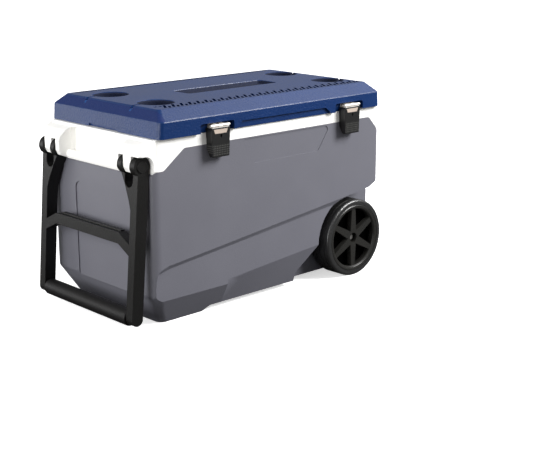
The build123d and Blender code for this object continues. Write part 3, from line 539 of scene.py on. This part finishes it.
drainRamp = {  # the slope falls by drop over reach, and starts at edge from the lid's end
    # painted highlight: the grooves are coloured a lighter blue than the lid, besides being glossier
    "finish": {
        "light": (24, 76, 138), "dark": (14, 58, 118), "grain": 2.8 * mm, "depth": 0.1 * mm,
        "rough": 0.16, "spread": 0.08, "gloss": 0.9,
    },
    "radius": 4.3 * mm,
    "depth": 2.4 * mm,
    "run": 19.0 * mm,
    "overlap": 2.0 * mm,
    "apart": 92.0 * mm,
    "edge": 24.0 * mm,
    "drop": 25.0 * mm,
    "reach": 21.0 * mm,
}


def rampCutter():  # the cups' drain grooves run on down the sloping ends
    slope = math.atan2(drainRamp["drop"], drainRamp["reach"])
    along = drainRamp["run"] / 2 - drainRamp["overlap"]
    lift = drainRamp["radius"] - drainRamp["depth"]
    outwards = along * math.cos(slope) + lift * math.sin(slope) - drainRamp["edge"]
    height = lidTop - along * math.sin(slope) + lift * math.cos(slope)
    work = bmesh.new()
    for end, x in ((-1, lidLow[0]), (1, lidHigh[0])):
        turn = Matrix.Rotation(end * slope, 4, "Y") @ Matrix.Rotation(math.pi / 2, 4, "Y")
        for row in (-1, 1):
            middle = Vector((x + end * outwards, row * drainRamp["apart"], height))
            bmesh.ops.create_cone(
                work,
                cap_ends=True,
                segments=32,
                radius1=drainRamp["radius"],
                radius2=drainRamp["radius"],
                depth=drainRamp["run"],
                matrix=Matrix.Translation(middle) @ turn,
            )
    return meshFrom(work, "drainRamps", [mouldedPlastic("rampHighlightBlue", drainRamp["finish"])])


def carve(piece, cutter):
    cut = piece.modifiers.new("cut", "BOOLEAN")
    cut.operation = "DIFFERENCE"
    cut.solver = "EXACT"
    cut.material_mode = "TRANSFER"
    cut.object = cutter
    settled(piece)
    bpy.data.objects.remove(cutter)


lidEdge = {"width": 0.8 * mm, "bevelFrom": 32.0, "sharpFrom": 28.0}
lid = bevel(cleanCopy("lid_shell"), lidEdge["width"], lidEdge["bevelFrom"])
carve(lid, rulerCutter())
carve(lid, rampCutter())
standsFor(smoothed(lid, lidEdge["sharpFrom"]), "lid_shell")
print("stage: lid marks and grooves cut")

# painted shadow: a near-black sheet inside each wheel, where the openings between the spokes fall in
# shade
wheelShadowSheet = {
    "finish": {
        "light": (4, 4, 4), "dark": (2, 2, 2), "grain": 2.0 * mm, "depth": 0.1 * mm,
        "rough": 0.7, "spread": 0.10, "gloss": 0.0,
    },
    "inner": 21.5 * mm,
    "outer": 80.5 * mm,
    "depth": 24.0 * mm,
    "thick": 2.0 * mm,
    "steps": 96,
}


def makeShadowSheet(side, facing, finish):  # thin black sheet behind the spokes: painted shadow that fills the wheel's openings
    hub = side + "_wheel_hub"
    low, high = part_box(hub)
    face = low[1] if facing < 0 else high[1]
    near = face - facing * wheelShadowSheet["depth"]
    far = near - facing * wheelShadowSheet["thick"]
    middleX = (low[0] + high[0]) / 2
    middleZ = (low[2] + high[2]) / 2
    profile = [
        (wheelShadowSheet["inner"], near),
        (wheelShadowSheet["outer"], near),
        (wheelShadowSheet["outer"], far),
        (wheelShadowSheet["inner"], far),
    ]
    work = bmesh.new()
    rings = []
    for step in range(wheelShadowSheet["steps"]):
        turn = math.tau * step / wheelShadowSheet["steps"]
        across, up = math.cos(turn), math.sin(turn)
        rings.append([work.verts.new((middleX + r * across, y, middleZ + r * up)) for r, y in profile])
    for step, ring in enumerate(rings):
        after = rings[(step + 1) % len(rings)]
        for corner in range(len(profile)):
            following = (corner + 1) % len(profile)
            work.faces.new((ring[corner], ring[following], after[following], after[corner]))
    bmesh.ops.recalc_face_normals(work, faces=work.faces)
    rideWith(meshFrom(work, side + "_wheel_shadow_sheet", [finish]), hub)


shadowSheetFinish = mouldedPlastic("paintedShadowBlack", wheelShadowSheet["finish"])
makeShadowSheet("front", -1, shadowSheetFinish)
makeShadowSheet("rear", 1, shadowSheetFinish)
print("stage: wheel shadow sheets made")

# painted shade: the drives are flat black crosses on the screw heads, not sunk into them
screwDrive = {"length": 4.4 * mm, "width": 0.9 * mm, "depth": 0.5 * mm, "proud": 0.04 * mm}
screwRows = {"hinge_body_screws": 1, "hinge_lid_screws": 1, "latch_screws": -1}  # 1 where heads face back


def islands(work):  # the vertices of each separate screw
    left = set(work.verts)
    while left:
        edge = [left.pop()]
        island = list(edge)
        while edge:
            for joint in edge.pop().link_edges:
                for vert in joint.verts:
                    if vert in left:
                        left.remove(vert)
                        edge.append(vert)
                        island.append(vert)
        yield island


def screwHeads(node, facing):  # middle of each head's outer face
    work = bmesh.new()
    work.from_mesh(nodes[node].data)
    bmesh.ops.remove_doubles(work, verts=work.verts, dist=mergeDistance)
    heads = []
    for island in islands(work):
        reach = max(vert.co.y * facing for vert in island)
        rim = [vert.co for vert in island if vert.co.y * facing > reach - 0.01 * mm]
        heads.append(sum(rim, Vector()) / len(rim))
    work.free()
    return heads


def paintDriveShadows(node, facing):  # a black cross on each head, barely proud of it: painted shade where the drive's recess would be
    work = bmesh.new()
    length, narrow = screwDrive["length"], screwDrive["width"]
    outwards = Vector((0, facing * (screwDrive["proud"] - screwDrive["depth"] / 2), 0))
    for head in screwHeads(node, facing):
        for width, height in ((length, narrow), (narrow, length)):
            shape = Matrix.Diagonal((width, screwDrive["depth"], height, 1))
            bmesh.ops.create_cube(work, size=1.0, matrix=Matrix.Translation(head + outwards) @ shape)
    rideWith(meshFrom(work, node + "_drive_shadows", [finishes["sealBlack"]]), node)


for node, facing in screwRows.items():
    paintDriveShadows(node, facing)
print("stage: screw drives made")

studio = {
    "world": 0.52,
    "floorSize": 30.0,
    "floorRough": 0.9,
    "floorSeen": (250, 250, 250),
    "floorDark": 0.07,  # what the floor gives back to the object
    "floorGlow": 0.6,  # seen by the camera only, so the shadow stays light
    "fadeFrom": 0.9,  # the lit floor fades to white over this distance
    "fadeOver": 1.2,
    "aim": (0, 0, 0.25),
    "lamps": {  # place, width, watts
        "key": ((2.1, -2.6, 2.5), 2.2, 265.0),
        "top": ((1.6, -0.2, 2.4), 2.2, 20.0),
        "leftCard": ((-2.9, -0.1, 0.9), 2.6, 88.0),
        "lowCard": ((-1.8, 1.9, 0.4), 1.5, 18.0),
    },
}


def makeFloor():
    half = studio["floorSize"] / 2
    corners = [(-half, -half, 0), (half, -half, 0), (half, half, 0), (-half, half, 0)]
    mesh = bpy.data.meshes.new("floor")
    mesh.from_pydata(corners, [], [(0, 1, 2, 3)])
    net = Net(bpy.data.materials.new("paleFloor"))
    seen = net.node("LightPath", "Is Camera Ray")
    away = net.node("VectorMath", "Value", settings={"operation": "LENGTH"}, Vector=net.place())
    fade = ((away - studio["fadeFrom"]) / studio["fadeOver"]).clamped()
    lit = fade * (1 - studio["floorGlow"]) + studio["floorGlow"]
    dark = (studio["floorDark"], studio["floorDark"], studio["floorDark"], 1)
    tint = net.blend(seen, dark, colour(*studio["floorSeen"]))
    glow = net.blend(seen * lit, (0, 0, 0, 1), (1, 1, 1, 1))
    pale = net.surface(
        Base_Color=tint,
        Roughness=studio["floorRough"],
        Specular_IOR_Level=0.0,
        Emission_Color=glow,
        Emission_Strength=1.0,
    )
    mesh.materials.append(pale)
    link(bpy.data.objects.new("floor", mesh))


def makeLamp(name, spot, width, watts):
    lamp = bpy.data.lights.new(name, "AREA")
    lamp.shape = "DISK"
    lamp.size = width
    lamp.energy = watts
    holder = link(bpy.data.objects.new(name, lamp))
    holder.location = spot
    towards = Vector(studio["aim"]) - Vector(spot)
    holder.rotation_euler = towards.to_track_quat("-Z", "Y").to_euler()


def makeWorld():  # soft light, and white where the camera sees it
    world = bpy.data.worlds.new("studioWorld")
    bpy.context.scene.world = world
    net = Net(world, "OutputWorld")
    seen = net.node("LightPath", "Is Camera Ray")
    soft = net.node("Background", Strength=studio["world"])
    white = net.node("Background", Color=(1, 1, 1, 1))
    net.end(net.node("MixShader", i0=seen, i1=soft, i2=white))


view = {  # metres, degrees and millimetres
    "spot": (-1.93766, -2.26961, 0.93895), "heading": 46.177, "pitch": -14.782,
    "lens": 73.68, "sensor": 36.0,
}


def makeCamera():
    data = bpy.data.cameras.new("camera")
    data.lens = view["lens"]
    data.sensor_width = view["sensor"]
    camera = link(bpy.data.objects.new("camera", data))
    camera.location = view["spot"]
    camera.rotation_euler = (math.radians(90 + view["pitch"]), 0, math.radians(view["heading"] - 90))
    bpy.context.scene.camera = camera


makeFloor()
for lampName, lampFacts in studio["lamps"].items():
    makeLamp(lampName, *lampFacts)
makeWorld()
makeCamera()
bpy.context.scene.view_settings.view_transform = "Standard"
print("stage: studio set")
